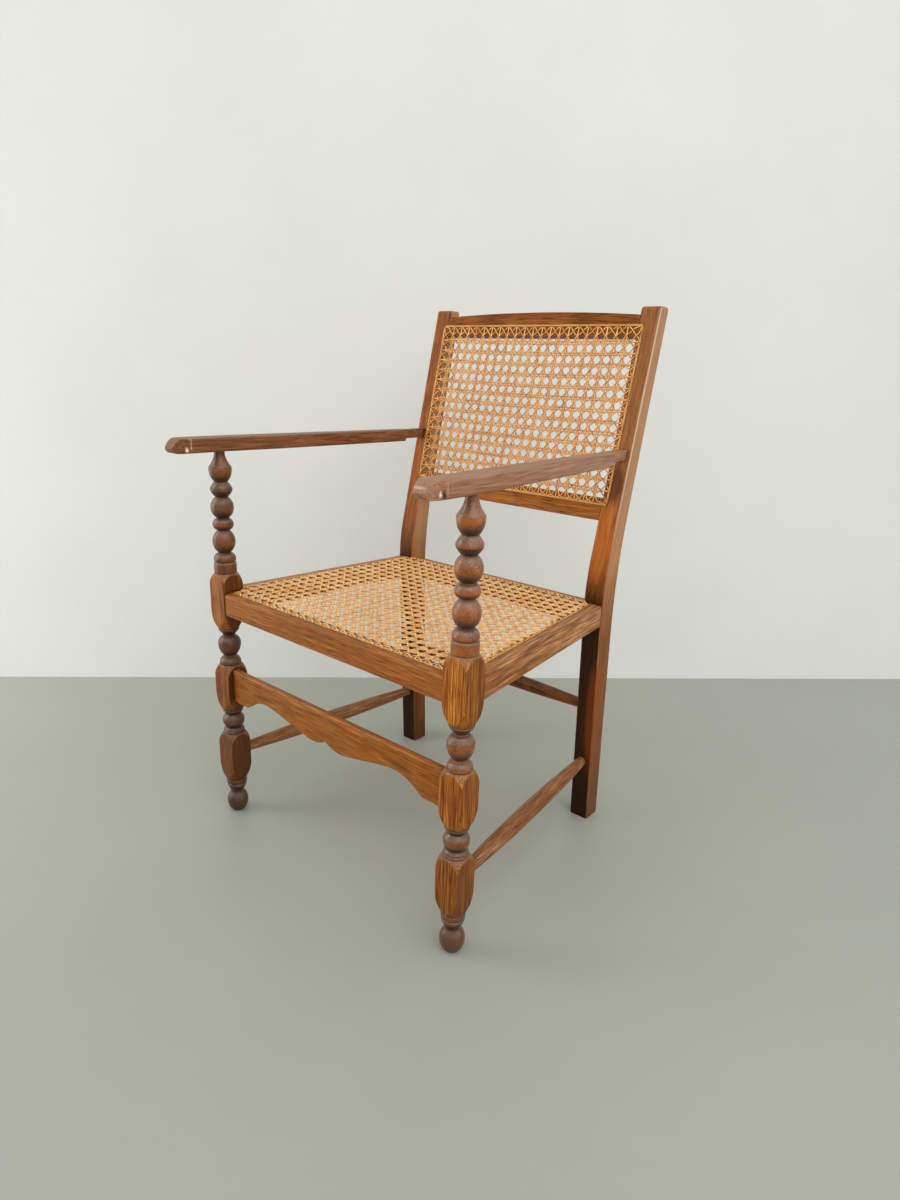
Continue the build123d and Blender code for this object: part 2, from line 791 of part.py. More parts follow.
def seat_pegs():
    """Pegs that hold the ends of the cane in the last hole of each rail."""
    peg = Cylinder(peg_radius, peg_length, align=(Align.CENTER, Align.CENTER, Align.MAX))
    places = [(front_hole_places[-1], front_hole_depth), (back_hole_places[-1], back_hole_depth)]
    places += [(side_hole_x(d), d) for d in (side_hole_depths[0], side_hole_depths[-1])]
    pegs = [Pos(s * x, y, rail_top) * peg for x, y in places for s in (-1, 1)]
    return Compound(pegs)


def back_pegs():
    """Pegs that hold the ends of the cane in the last holes of the back."""
    peg = Cylinder(peg_radius, peg_length, align=(Align.CENTER, Align.CENTER, Align.MAX))
    places = [(back_strand_places[-1], back_bottom_hole), (back_strand_places[-1], back_top_hole)]
    places += [(back_hole_x, back_row_heights[0]), (back_hole_x, back_row_heights[-1])]
    pegs = [back_plane * Pos(s * x, y, 0) * peg for x, y in places for s in (-1, 1)]
    return Compound(pegs)


# Every piece under the name of its node
pieces = {}
for name, make in (
    ("front_post", front_post),
    ("back_post", back_post),
    ("side_seat_rail", side_seat_rail),
    ("arm", arm),
):
    left = make()
    pieces[name + "_left"] = left
    pieces[name + "_right"] = mirrored(left)
pieces["front_seat_rail"] = front_seat_rail()
pieces["back_seat_rail"] = back_seat_rail()
pieces["front_stretcher"] = front_stretcher()
side_rooms = (front_post_room(), back_post_room())
pieces["side_stretcher_left"] = spindle(*side_spindle_ends, side_rooms)
pieces["side_stretcher_right"] = mirrored(pieces["side_stretcher_left"])
beside = block((back_inner, 0, 0), (front_post_spacing, front_post_spacing, chair_height))
pieces["back_stretcher"] = spindle(*back_spindle_ends, (beside, mirrored(beside)))
pieces["crest_rail"] = crest_rail()
pieces["lower_back_rail"] = lower_back_rail()
pieces["seat_cane"] = seat_cane()
pieces["back_cane"] = back_cane()
pieces["seat_binder"] = seat_binder()
pieces["back_binder"] = back_binder()
pieces["seat_cane_pegs"] = seat_pegs()
pieces["back_cane_pegs"] = back_pegs()

# The origin goes to the floor under the middle of the whole chair.
whole = Compound(list(pieces.values())).bounding_box()
to_origin = Pos(0, -(whole.min.Y + whole.max.Y) * half, 0)
os.makedirs("parts", exist_ok=True)
for name, piece in pieces.items():
    export_step(to_origin * piece, os.path.join("parts", name + ".step"))
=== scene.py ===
import random
from math import cos, pi, radians, sin

import bmesh
import bpy
from mathutils import Matrix, Vector


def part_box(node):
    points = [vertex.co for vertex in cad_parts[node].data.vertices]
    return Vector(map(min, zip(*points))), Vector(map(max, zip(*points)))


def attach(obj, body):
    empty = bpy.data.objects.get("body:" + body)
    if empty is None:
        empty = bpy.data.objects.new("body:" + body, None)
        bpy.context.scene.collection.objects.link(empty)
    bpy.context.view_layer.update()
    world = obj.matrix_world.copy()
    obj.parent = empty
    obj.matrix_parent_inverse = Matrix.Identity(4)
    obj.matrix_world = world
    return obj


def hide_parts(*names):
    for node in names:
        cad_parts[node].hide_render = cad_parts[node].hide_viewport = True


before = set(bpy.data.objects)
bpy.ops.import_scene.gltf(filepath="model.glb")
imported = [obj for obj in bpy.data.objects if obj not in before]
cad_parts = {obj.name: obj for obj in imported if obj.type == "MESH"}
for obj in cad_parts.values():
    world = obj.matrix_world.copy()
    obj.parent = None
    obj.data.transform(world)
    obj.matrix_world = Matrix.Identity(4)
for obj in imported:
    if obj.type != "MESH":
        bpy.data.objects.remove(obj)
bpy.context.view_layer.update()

# An antique oak armchair: two spool-turned front posts, two sawn back posts, and a seat and a back
# woven by hand from split cane. +Z is up, the front faces -Y, and the sitter's left is at +X.

# The camera stands to the sitter's left, a little above the arms. Its place, in millimetres, and its
# lens were solved from the straight edges of the chair.
MM = 0.001
camera_place = (770.3, -866.8, 765.2)
camera_heading = 39.64
camera_pitch = 17.29
camera_roll = 2.21
focal_in_pixels = 744.0
photo_height = 1200
sensor_height = 36.0

heading = Matrix.Rotation(radians(camera_heading), 4, "Z")
pitch = Matrix.Rotation(radians(90 - camera_pitch), 4, "X")
roll = Matrix.Rotation(radians(camera_roll), 4, "Z")
camera_data = bpy.data.cameras.new("camera")
camera_data.sensor_fit = "VERTICAL"
camera_data.sensor_height = sensor_height
camera_data.lens = focal_in_pixels / photo_height * sensor_height
camera = bpy.data.objects.new("camera", camera_data)
camera.matrix_world = Matrix.Translation(Vector(camera_place) * MM) @ heading @ pitch @ roll
bpy.context.scene.collection.objects.link(camera)
bpy.context.scene.camera = camera
bpy.context.scene.view_settings.view_transform = "Standard"

# The stage is a plain pale floor of painted concrete and a plain white plastered wall behind the chair.
# Paint and plaster are a little cloudy. Both sheets are clear from their back, so that the wall hides
# nothing in views from behind it.
floor_colour = "#a0a297"
wall_colour = "#e4e4df"
floor_roughness = 0.45
wall_roughness = 0.9
wall_distance = 615.0
wall_heading = 44.8
stage_size = 16000.0
cloud_width = 455.0


def linear(hex_colour):
    """Linear colour of an sRGB hex value."""
    channels = [int(hex_colour[i:i + 2], 16) / 255 for i in (1, 3, 5)]
    return [c / 12.92 if c <= 0.04045 else ((c + 0.055) / 1.055) ** 2.4 for c in channels] + [1.0]


def add(tree, kind, settings=None, **inputs):
    """A shader node with its settings, and its inputs set to values or linked to sockets."""
    node = tree.nodes.new("ShaderNode" + kind)
    for name, value in (settings or {}).items():
        setattr(node, name, value)
    for name, value in inputs.items():
        key = int(name[1:]) if name[0] == "_" else name.replace("_", " ")
        if isinstance(value, bpy.types.NodeSocket):
            tree.links.new(value, node.inputs[key])
        else:
            node.inputs[key].default_value = value
    return node


def new_material(name):
    """An empty material, its tree, and its output."""
    material = bpy.data.materials.new(name)
    material.use_nodes = True
    material.node_tree.nodes.clear()
    return material, material.node_tree, add(material.node_tree, "OutputMaterial")


def per_metre(width):
    """Scale of a pattern whose patches are so many millimetres wide."""
    return 1 / (width * MM)


for name, colour, roughness in (
    ("painted_floor", floor_colour, floor_roughness),
    ("plaster_wall", wall_colour, wall_roughness),
):
    material, tree, output = new_material(name)
    place = add(tree, "TexCoord").outputs["Object"]
    cloud = add(tree, "TexNoise", Vector=place, Scale=per_metre(cloud_width), Detail=5, Roughness=0.6)
    shade = add(tree, "MapRange", Value=cloud.outputs["Fac"], From_Min=0.25, From_Max=0.75,
                To_Min=0.965, To_Max=1.03)
    tint = add(tree, "VectorMath", {"operation": "SCALE"}, _0=linear(colour)[:3], Scale=shade.outputs[0])
    paint = add(tree, "BsdfPrincipled", Base_Color=tint.outputs[0], Roughness=roughness)
    clear = add(tree, "BsdfTransparent")
    back = add(tree, "NewGeometry").outputs["Backfacing"]
    seen = add(tree, "MixShader", _0=back, _1=paint.outputs[0], _2=clear.outputs[0])
    tree.links.new(seen.outputs[0], output.inputs[0])
    sheet = bmesh.new()
    bmesh.ops.create_grid(sheet, x_segments=1, y_segments=1, size=stage_size * MM * 0.5)
    if name == "plaster_wall":
        upright = Matrix.Rotation(radians(90), 3, "X")
        bmesh.ops.rotate(sheet, verts=sheet.verts, matrix=upright)
        bmesh.ops.translate(sheet, verts=sheet.verts, vec=(0, wall_distance * MM, stage_size * MM * 0.5))
        bmesh.ops.rotate(sheet, verts=sheet.verts, matrix=Matrix.Rotation(radians(wall_heading), 3, "Z"))
    mesh = bpy.data.meshes.new(name)
    sheet.to_mesh(mesh)
    sheet.free()
    mesh.materials.append(material)
    surface = bpy.data.objects.new(name, mesh)
    bpy.context.scene.collection.objects.link(surface)

# The light is an even sky and four soft square lamps: a key lamp high at the camera's left, a broad one
# overhead, and a weak one low on either side. Places and sizes are in metres, powers in watts.
sky_colour = "#f2f4f5"
sky_strength = 1.12
lamp_aim = Vector((0, 0, 0.4))
lamps = (
    ("key", (-2.0, -1.8, 1.9), 0.8, 12),
    ("overhead", (2.0, -1.0, 2.4), 2.4, 23),
    ("left_fill", (-1.5, -1.2, 0.5), 1.0, 7),
    ("right_fill", (1.6, 0.3, 0.5), 1.0, 2),
)

world = bpy.data.worlds.new("studio")
world.use_nodes = True
world.node_tree.nodes["Background"].inputs["Color"].default_value = linear(sky_colour)
world.node_tree.nodes["Background"].inputs["Strength"].default_value = sky_strength
bpy.context.scene.world = world
for name, place, size, power in lamps:
    lamp_data = bpy.data.lights.new(name, "AREA")
    lamp_data.size = size
    lamp_data.energy = power
    lamp = bpy.data.objects.new(name, lamp_data)
    lamp.location = place
    lamp.rotation_euler = (lamp_aim - Vector(place)).to_track_quat("-Z", "Y").to_euler()
    bpy.context.scene.collection.objects.link(lamp)

# Each front post is turned from one length of 38 mm square oak: a ball foot, three square blocks that
# take the stretchers and the rails, and a run of beads and coves up to the arm. Its arrises are worn
# round. The steps are radii and heights from the axis: a straight run, or an arc through one point.
post_half = 19.0
post_corner = 26.3
post_steps = [
    ((10.0, 0.0),), ((17.9, 20.5), (11.6, 35.8)), ((11.4, 37.8), (12.1, 40.3)), ((13.9, 45.1),),
    ((15.8, 49.0), (16.6, 53.1)), ((15.7, 53.9),), ((15.7, 54.7),), ((16.8, 55.4),),
    ((17.3, 59.0), (16.9, 62.4)), ((15.7, 63.2),), ((16.7, 64.0),),
    ((23.0, 76.5), (post_corner, 93.0)), ((post_corner, 134.0),), ((23.2, 145.3), (17.4, 153.0)),
    ((16.1, 153.7),), ((17.4, 154.5),), ((17.4, 156.2),), ((16.5, 156.9),), ((17.2, 157.7),),
    ((16.2, 160.6), (12.5, 163.7)), ((18.2, 175.3), (12.4, 187.0)), ((14.8, 190.8), (16.8, 194.2)),
    ((17.2, 196.2),), ((15.9, 196.9),), ((16.9, 197.6),),
    ((23.2, 210.3), (post_corner, 227.0)), ((post_corner, 260.5),), ((23.2, 271.2), (17.4, 279.5)),
    ((16.1, 280.2),), ((17.3, 281.0),), ((17.3, 283.3),), ((16.0, 287.8), (11.0, 292.6)), ((10.9, 295.8),),
    ((16.2, 304.0), (18.3, 314.1)), ((16.7, 323.0), (9.7, 329.4)), ((9.5, 331.3),),
    ((14.1, 337.1), (16.4, 340.0)), ((17.0, 342.1),), ((15.7, 342.9),), ((16.7, 343.6),),
    ((23.2, 356.5), (post_corner, 373.0)), ((post_corner, 418.0),), ((23.2, 428.7), (17.4, 437.0)),
    ((16.6, 437.6),), ((17.7, 438.4),), ((17.8, 445.0), (17.6, 453.2)), ((16.1, 454.6),),
    ((16.1, 455.5),), ((16.9, 456.7),), ((16.7, 463.8), (10.1, 469.9)), ((10.1, 470.8),),
    ((17.9, 488.0), (10.2, 506.0)), ((10.2, 507.2),), ((16.4, 516.7), (9.8, 525.7)), ((9.8, 526.7),),
    ((17.9, 543.0), (9.8, 559.7)), ((14.3, 565.0), (17.0, 569.8)), ((17.0, 573.2),),
    ((14.4, 578.2), (10.3, 583.4)), ((17.2, 597.8), (17.2, 606.7)), ((11.6, 615.2), (8.4, 623.7)),
    ((7.7, 631.9),), ((0.0, 631.9),),
]
block_heights = [(64.0, 153.0), (197.6, 279.5), (343.6, 437.0)]
lathe_segments = 72
arc_steps = 9
weld_distance = 1e-3
fine_weld_distance = 1e-4
turned_crease = 35

# The wood is oak, stained brown and waxed, more than a century old. Its open pores show as dark dashes
# along the grain, its joints and coves are darkened for dirt and for painted shade, it is drawn darker
# towards the feet, and its arrises are rubbed pale. Faces that look up have a grey bloom, partly dust and
# partly a painted sheen of the light from above, and faces that look down are painted golden, a painted
# reflection of warm light, over patches of kept varnish.
# Real pores are about 0.3 mm wide, and fibres finer, so both are drawn as coarse as they need to show.
oak_pore = "#2c1406"
oak_dirt_and_shade = "#1f0f06"
oak_worn = "#c0a081"
oak_dust_and_sheen = "#86705c"
oak_varnish_and_painted_underside = "#a8560f"
oak_low_dark = "#35200f"
oak_figure_width = 9.0
oak_pore_width = 1.1
oak_pore_depth = 0.25
oak_mottle_width = 2.4
oak_patch_width = 28.0
lean_start = 430.0
slant_start = -206.5
oak_tone_places = (0.37, 0.49, 0.61)
turned_grain = (1, 1, 0.6)
upright_grain = (1, 1, 0.03)
towards_floor = (0, 0, -1)
towards_left = (1, 0, 0)


def past(tree, value, start, share):
    """A share of how far a value lies beyond a start, and nothing before it."""
    beyond = add(tree, "Math", {"operation": "SUBTRACT"}, _0=value, _1=start * MM)
    kept = add(tree, "Math", {"operation": "MAXIMUM"}, _0=beyond.outputs[0], _1=0.0)
    return add(tree, "Math", {"operation": "MULTIPLY"}, _0=kept.outputs[0], _1=share).outputs[0]


def oak(name, grain_scale, dark, mid, light, dust_and_sheen, shine, varnish_and_underside=0.5, coat=0.0, worn=0.85, rough=0.4,
        fibre_width=1.7, pores=0.65, painted_underside_from=0.12, dirt_and_shade_from=0.82, dirt_and_shade_from_others=True,
        lean=0.0, slant=0.0, darkened_below=200.0, ease=1.5, reach=12.0):
    """Aged oak, its grain along the axis with the smallest scale and turned with a piece that leans."""
    material, tree, output = new_material(name)
    place = add(tree, "TexCoord").outputs["Object"]
    axes = add(tree, "SeparateXYZ", Vector=place)
    height = axes.outputs["Z"]

    # Figure, fibres and open pores, along a grain that turns with the piece.
    width = add(tree, "Math", {"operation": "ABSOLUTE"}, _0=axes.outputs["X"])
    straight = add(tree, "CombineXYZ", Y=past(tree, height, lean_start, -lean), Z=height,
                   X=past(tree, axes.outputs["Y"], slant_start, slant))
    pair = add(tree, "CombineXYZ", X=width.outputs[0], Y=axes.outputs["Y"])
    line = add(tree, "VectorMath", _0=pair.outputs[0], _1=straight.outputs[0])
    grain = add(tree, "Mapping", Vector=line.outputs[0], Scale=grain_scale).outputs[0]
    figure = add(tree, "TexNoise", Vector=grain, Scale=per_metre(oak_figure_width), Detail=3, Distortion=0.5)
    fibre = add(tree, "TexNoise", Vector=grain, Scale=per_metre(fibre_width), Detail=3, Distortion=0.2)
    pore = add(tree, "TexNoise", Vector=grain, Scale=per_metre(oak_pore_width), Detail=1)
    tone = add(tree, "MixRGB", _0=0.68, _1=figure.outputs["Fac"], _2=fibre.outputs["Fac"])
    ramp = add(tree, "ValToRGB", _0=tone.outputs[0])
    ramp.color_ramp.elements.new(oak_tone_places[1])
    for stop, where, colour in zip(ramp.color_ramp.elements, oak_tone_places, (dark, mid, light)):
        stop.position = where
        stop.color = linear(colour)
    open_pore = add(tree, "MapRange", Value=pore.outputs["Fac"], From_Min=0.55, From_Max=0.64, To_Max=pores)
    wood = add(tree, "MixRGB", _0=open_pore.outputs[0], _1=ramp.outputs[0], _2=linear(oak_pore))

    # Varnish kept in patches, a painted golden glow below, dust and a painted sheen above, and darker
    # towards the floor.
    surface = add(tree, "NewGeometry")
    patches = add(tree, "TexNoise", Vector=place, Scale=per_metre(oak_patch_width), Detail=2)
    mottle = add(tree, "TexNoise", Vector=place, Scale=per_metre(oak_mottle_width), Detail=3, Roughness=0.65)
    facing = add(tree, "SeparateXYZ", Vector=surface.outputs["Normal"])
    # Painted reflected light: faces that look down turn golden. Patches of kept varnish are mixed in below.
    under = add(tree, "MapRange", Value=facing.outputs["Z"], From_Min=painted_underside_from,
                From_Max=painted_underside_from - 0.42, To_Max=varnish_and_underside)
    kept = add(tree, "MapRange", Value=patches.outputs["Fac"], From_Min=0.44, From_Max=0.58)
    part = add(tree, "MapRange", Value=kept.outputs[0], To_Min=0.45)
    lower = add(tree, "Math", {"operation": "MULTIPLY"}, _0=under.outputs[0], _1=part.outputs[0])
    spot = add(tree, "Math", {"operation": "MULTIPLY"}, _0=kept.outputs[0], _1=varnish_and_underside * 0.6)
    golden = add(tree, "Math", {"operation": "MAXIMUM"}, _0=lower.outputs[0], _1=spot.outputs[0])
    wood = add(tree, "MixRGB", _0=golden.outputs[0], _1=wood.outputs[0], _2=linear(oak_varnish_and_painted_underside))
    # Dust and a painted sheen of the light from above, on faces that look up.
    upward = add(tree, "MapRange", Value=facing.outputs["Z"], From_Min=0.25, From_Max=0.6, To_Max=dust_and_sheen)
    dust_and_sheen_mottle = add(tree, "MapRange", Value=mottle.outputs["Fac"], From_Min=0.4, From_Max=0.6, To_Min=0.2)
    dust_and_sheen_film = add(tree, "Math", {"operation": "MULTIPLY"}, _0=upward.outputs[0], _1=dust_and_sheen_mottle.outputs[0])
    wood = add(tree, "MixRGB", _0=dust_and_sheen_film.outputs[0], _1=wood.outputs[0], _2=linear(oak_dust_and_sheen))
    low_darkening = add(tree, "MapRange", Value=height, From_Min=darkened_below * MM, From_Max=0.0, To_Max=0.75)
    wood = add(tree, "MixRGB", _0=low_darkening.outputs[0], _1=wood.outputs[0], _2=linear(oak_low_dark))

    # Arrises rubbed pale, and dirt and painted shade in the corners.
    eased = add(tree, "Bevel", {"samples": 4}, Radius=ease * MM)
    match = add(tree, "VectorMath", {"operation": "DOT_PRODUCT"}, _0=eased.outputs[0],
                _1=surface.outputs["Normal"])
    arris = add(tree, "MapRange", Value=match.outputs["Value"], From_Min=0.98, From_Max=0.82)
    rubbed = add(tree, "MapRange", Value=patches.outputs["Fac"], From_Min=0.34, From_Max=0.56, To_Max=worn)
    wear = add(tree, "Math", {"operation": "MULTIPLY"}, _0=arris.outputs[0], _1=rubbed.outputs[0])
    wood = add(tree, "MixRGB", _0=wear.outputs[0], _1=wood.outputs[0], _2=linear(oak_worn))
    # Dirt and painted shade where the wood is sheltered, by itself or by other pieces.
    shelter = add(tree, "AmbientOcclusion", {"samples": 6, "only_local": not dirt_and_shade_from_others},
                  Distance=reach * MM)
    dirt_and_shade = add(tree, "MapRange", Value=shelter.outputs["AO"], From_Min=dirt_and_shade_from,
               From_Max=dirt_and_shade_from - 0.37, To_Max=0.92)
    wood = add(tree, "MixRGB", _0=dirt_and_shade.outputs[0], _1=wood.outputs[0], _2=linear(oak_dirt_and_shade))

    # Sunken pores, eased arrises, and a sheen that the dust breaks up.
    relief = add(tree, "Bump", {"invert": True}, Strength=0.45, Distance=oak_pore_depth * MM,
                 Height=open_pore.outputs[0], Normal=eased.outputs[0])
    sheen = add(tree, "MapRange", Value=mottle.outputs["Fac"], From_Min=0.3, From_Max=0.7,
                To_Min=rough - 0.06, To_Max=rough + 0.1)
    shader = add(tree, "BsdfPrincipled", Base_Color=wood.outputs[0], Roughness=sheen.outputs[0],
                 Normal=relief.outputs[0], Specular_IOR_Level=shine, Coat_Weight=coat,
                 Coat_Roughness=0.15)
    tree.links.new(shader.outputs[0], output.inputs[0])
    return material


# Most uses below paint the light and the shade that fall on one side of a piece.
def tint_by_facing(material, colour, strength, direction, start=0.0, end=1.0, spread=0.7, soft=0.1):
    """Mix a colour into the wood on faces that look one way, fading in between two heights."""
    tree = material.node_tree
    shader = tree.nodes["Principled BSDF"]
    wood = shader.inputs["Base Color"].links[0].from_socket
    normal = tree.nodes["Bevel"].outputs[0]
    match = add(tree, "VectorMath", {"operation": "DOT_PRODUCT"}, _0=normal, _1=direction)
    side = add(tree, "MapRange", Value=match.outputs["Value"], From_Min=spread, From_Max=spread + soft,
               To_Max=strength)
    place = add(tree, "TexCoord").outputs["Object"]
    height = add(tree, "SeparateXYZ", Vector=place).outputs["Z"]
    fade = add(tree, "MapRange", Value=height, From_Min=start * MM, From_Max=end * MM)
    amount = add(tree, "Math", {"operation": "MULTIPLY"}, _0=side.outputs[0], _1=fade.outputs[0])
    mixed = add(tree, "MixRGB", _0=amount.outputs[0], _1=wood, _2=linear(colour))
    tree.links.new(mixed.outputs[0], shader.inputs["Base Color"])


def round_arc(start, via, end):
    """Points along the circle from one point through a second to a third, without the first."""
    (ax, ay), (bx, by), (cx, cy) = start, via, end
    a, b, c = ax * ax + ay * ay, bx * bx + by * by, cx * cx + cy * cy
    scale = 2 * (ax * (by - cy) + bx * (cy - ay) + cx * (ay - by))
    centre = Vector((a * (by - cy) + b * (cy - ay) + c * (ay - by),
                     a * (cx - bx) + b * (ax - cx) + c * (bx - ax))) / scale
    spoke = Vector(start) - centre
    turn = -spoke.angle_signed(Vector(end) - centre)
    return [centre + Matrix.Rotation(turn * i / arc_steps, 2) @ spoke for i in range(1, arc_steps + 1)]


def turned_post():
    """The whole post on the Z axis, in millimetres, as the lathe and then the square stock leave it."""
    outline = [Vector((0, 0))]
    for step in post_steps:
        outline += round_arc(outline[-1], *step) if len(step) == 2 else [Vector(step[0])]
    shape = bmesh.new()
    verts = [shape.verts.new((p.x, 0, p.y)) for p in outline]
    edges = [shape.edges.new(pair) for pair in zip(verts, verts[1:])]
    bmesh.ops.spin(shape, geom=verts + edges, axis=(0, 0, 1), cent=(0, 0, 0), angle=2 * pi,
                   steps=lathe_segments, use_merge=True)
    bmesh.ops.remove_doubles(shape, verts=shape.verts, dist=fine_weld_distance)
    for normal in ((1, 0, 0), (-1, 0, 0), (0, 1, 0), (0, -1, 0)):
        plane = Vector(normal) * post_half
        bmesh.ops.bisect_plane(shape, geom=shape.verts[:] + shape.edges[:] + shape.faces[:],
                               dist=fine_weld_distance, plane_co=plane, plane_no=normal)
    for vert in shape.verts:
        vert.co.x = max(-post_half, min(post_half, vert.co.x))
        vert.co.y = max(-post_half, min(post_half, vert.co.y))
    bmesh.ops.remove_doubles(shape, verts=shape.verts, dist=weld_distance)
    bmesh.ops.dissolve_degenerate(shape, edges=shape.edges, dist=weld_distance)
    bmesh.ops.recalc_face_normals(shape, faces=shape.faces)
    for face in shape.faces:
        height = face.calc_center_median().z
        face.material_index = 1 if any(low < height < high for low, high in block_heights) else 0
    return shape


def finish_piece(shape, name, material, replaced, place=Matrix.Identity(4), crease=None):
    """A finished piece from a shape in millimetres, moved to its place on the chair."""
    bmesh.ops.transform(shape, verts=shape.verts, matrix=place @ Matrix.Scale(MM, 4))
    mesh = bpy.data.meshes.new(name)
    shape.to_mesh(mesh)
    shape.free()
    mesh.shade_smooth()
    if crease:
        mesh.set_sharp_from_angle(angle=radians(crease))
    mesh.materials.append(material)
    piece = bpy.data.objects.new(name, mesh)
    bpy.context.scene.collection.objects.link(piece)
    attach(piece, "root")
    if replaced:
        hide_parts(*replaced)
    return piece


# Waxed beads shine, with painted shade on their undersides. The squared blocks are matt and show their long
# grain.
left_turned_oak = oak("turned_waxed_oak_left", turned_grain, "#2e1505", "#6c3a10", "#a86422", 0.85, 0.4,
                      0.85, 0.4, rough=0.32, fibre_width=1.3, painted_underside_from=0.5, darkened_below=480.0)
right_turned_oak = oak("turned_waxed_oak_right", turned_grain, "#271306", "#54300f", "#80501f", 0.7, 0.4,
                       0.5, 0.2, rough=0.35, fibre_width=1.3, darkened_below=560.0)
left_block_oak = oak("squared_oak_left", upright_grain, "#522207", "#9c5412", "#d48c32", 0.7, 0.2,
                     worn=0.2, fibre_width=1.5)
right_block_oak = oak("squared_oak_right", upright_grain, "#421c06", "#834612", "#b87630", 0.7, 0.2,
                      worn=0.3, fibre_width=1.5, darkened_below=300.0)
# Painted shade on the undersides of the beads.
for turned_oak in (left_turned_oak, right_turned_oak):
    tint_by_facing(turned_oak, "#2a1206", 0.9, towards_floor, spread=0.12, soft=0.35)
# Painted shade on the faces of the blocks towards the sitter's left, deeper on the far post.
tint_by_facing(left_block_oak, "#5a2c0e", 0.45, towards_left)
tint_by_facing(right_block_oak, "#3a1d0b", 0.6, towards_left)
for side, turned, squared in (
    ("left", left_turned_oak, left_block_oak),
    ("right", right_turned_oak, right_block_oak),
):
    low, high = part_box("front_post_" + side)
    place = Matrix.Translation(((low.x + high.x) * 0.5, (low.y + high.y) * 0.5, 0))
    post = finish_piece(turned_post(), "turned_front_post_" + side, turned,
                        ["front_post_" + side], place, turned_crease)
    post.data.materials.append(squared)

# Each back post is sawn from an oak plank, straight up to just above the seat and leaning back above it.
# It is mortised for the rails, the stretchers, the arm and both boards of the back. Its face towards the
# sitter's left is painted paler above the seat as painted light, and its front face is darkened below the
# seat for dirt and painted shade. The near one has a reddish patch of old polish, a painted patch of light
# low on its front face, a painted highlight along its outer front arris, and dirt and painted shadow below
# the arm.
post_lean = 0.223
mark_edge_width = 1.667
towards_front = (0, -1, 0)


def marked(material, colour, strength, centre, half_size):
    """A mark on the wood with a ragged outline, inside an ellipsoid in millimetres."""
    tree = material.node_tree
    shader = tree.nodes["Principled BSDF"]
    wood = shader.inputs["Base Color"].links[0].from_socket
    place = add(tree, "TexCoord").outputs["Object"]
    away = add(tree, "VectorMath", {"operation": "SUBTRACT"}, _0=place, _1=Vector(centre) * MM)
    scaled = add(tree, "VectorMath", {"operation": "DIVIDE"}, _0=away.outputs[0], _1=Vector(half_size) * MM)
    reach = add(tree, "VectorMath", {"operation": "LENGTH"}, _0=scaled.outputs[0])
    ragged = add(tree, "TexNoise", Vector=place, Scale=per_metre(mark_edge_width), Detail=2)
    edge = add(tree, "Math", _0=reach.outputs["Value"], _1=ragged.outputs["Fac"])
    amount = add(tree, "MapRange", Value=edge.outputs[0], From_Min=1.5, From_Max=1.15, To_Max=strength)
    mixed = add(tree, "MixRGB", _0=amount.outputs[0], _1=wood, _2=linear(colour))
    tree.links.new(mixed.outputs[0], shader.inputs["Base Color"])


def dress(names, material):
    """Give solids of the frame their material."""
    for name in names:
        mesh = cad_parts[name].data
        mesh.materials.clear()
        mesh.materials.append(material)


left_upright_oak = oak("sawn_oak_left", upright_grain, "#683510", "#a35c20", "#c67f38", 0.75, 0.12,
                       dirt_and_shade_from_others=False, lean=post_lean)
right_upright_oak = oak("sawn_oak_right", upright_grain, "#5c2c0d", "#8c4c19", "#ac6a2c", 0.75, 0.12,
                        dirt_and_shade_from_others=False, lean=post_lean)
# On both back posts: painted light makes the faces towards the sitter's left paler above the seat, and dirt
# with painted shade darkens the front faces below it.
for upright_oak in (left_upright_oak, right_upright_oak):
    tint_by_facing(upright_oak, "#c09a76", 0.5, towards_left, 350, 480)
    tint_by_facing(upright_oak, "#170903", 0.92, towards_front, 500, 400)
tint_by_facing(left_upright_oak, "#835a3a", 0.5, towards_front, 540, 640)
tint_by_facing(left_upright_oak, "#6c462c", 0.6, towards_left, 480, 350)
marked(left_upright_oak, "#b8621f", 0.45, (208, 190, 500), (24, 70, 70))
# Painted highlight along the outer front arris of the near back post, above the seat.
tint_by_facing(left_upright_oak, "#d8c4a9", 0.75, (0.72, -0.7, 0), 480, 600, 0.9, 0.08)
# Painted light: a patch of light low on the front face of the near back post, below the seat.
marked(left_upright_oak, "#8a4314", 0.5, (222, 186, 200), (12, 25, 120))
# Dirt and painted shadow below the arm, on the front face of the near back post.
marked(left_upright_oak, "#34110a", 0.7, (207, 210, 598), (20, 70, 36))
dress(["back_post_left"], left_upright_oak)
dress(["back_post_right"], right_upright_oak)

# The seat hangs in four oak rails, planed and tenoned into the posts, and bored with a row of holes for
# the cane. Legs have rubbed their upper arrises broad and soft. The side rails draw in towards the back.
cross_grain = (0.03, 1, 1)
fore_and_aft_grain = (1, 0.03, 1)
side_rail_slant = 0.106

rail_oak = oak("planed_oak_across", cross_grain, "#6a3a14", "#94571d", "#b57535", 0.1, 0.15,
               worn=0.5, fibre_width=1.3, ease=4.0, reach=5.0)
side_oak = oak("planed_oak_fore_and_aft", fore_and_aft_grain, "#62371a", "#9d6434", "#d29c66", 0.2, 0.2,
               worn=0.6, fibre_width=1.4, slant=side_rail_slant, ease=3.5, reach=5.0)
dress(["front_seat_rail", "back_seat_rail"], rail_oak)
dress(["side_seat_rail_left", "side_seat_rail_right"], side_oak)

# Three turned oak spindles brace the legs at the sides and the back, glued into bored holes. The one at
# the back is dull, with little wax left, and is coloured dark as painted shade under the seat. In front is
# a thin oak board with a fretted lower edge, tenoned into the posts. Shoes have worn its arrises round, so
# it is eased here from the solid in the frame.
stretcher_ease = 1.4
eased_crease = 40
ease_angle = 28
flat_angle = 1.5


